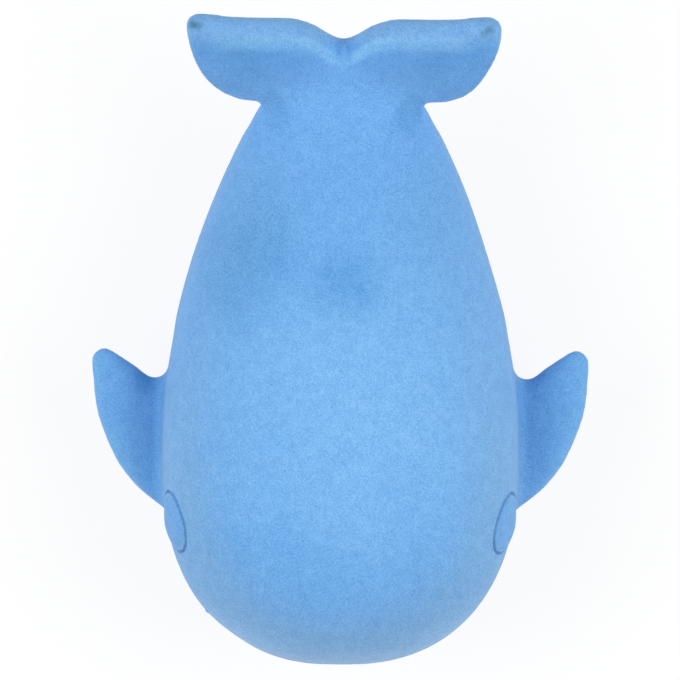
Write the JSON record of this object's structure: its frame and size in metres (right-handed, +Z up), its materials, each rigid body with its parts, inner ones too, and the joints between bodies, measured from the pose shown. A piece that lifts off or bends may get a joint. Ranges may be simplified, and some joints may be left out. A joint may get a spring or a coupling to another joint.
{
  "type": "whale dog toy",
  "caption": "Soft foam-rubber whale toy for a dog, with upturned tail flukes, side flippers, inset eye discs and a reed squeaker plugged into its belly.",
  "frame": {"origin": "on the surface the toy stands on, midway between the nose and the tips of the flukes and on the toy's middle line", "axes": "+Z up, +Y from the nose to the flukes, +X to the side of the right flipper as drawn from above with the flukes at the top"},
  "size_m": [0.1148, 0.1501, 0.0591],
  "materials": {
    "blue_foam_rubber": "matte moulded foam rubber with fine pores",
    "core_foam": "open soft foam",
    "squeaker_plastic": "plain moulded white",
    "reed_film": "thin amber polyester film"
  },
  "bodies": {
    "toy": {"back_skin": "blue_foam_rubber", "belly_skin": "blue_foam_rubber", "foam_core": "core_foam", "tail_flukes": "blue_foam_rubber", "left_flipper": "blue_foam_rubber", "right_flipper": "blue_foam_rubber", "left_eye": "blue_foam_rubber", "right_eye": "blue_foam_rubber", "squeaker_plug": "squeaker_plastic", "reed_bed": "squeaker_plastic", "reed_wedge": "squeaker_plastic"},
    "reed": {"squeaker_reed": "reed_film"}
  },
  "joints": [
    {"name": "reed_flutter", "type": "hinge", "parent": "toy", "child": "reed", "pos_m": [0, -0.024, 0.0051], "axis": [0, 1, 0], "range_deg": [-3, 5], "stiffness_Nm_per_rad": 0.00005}
  ]
}
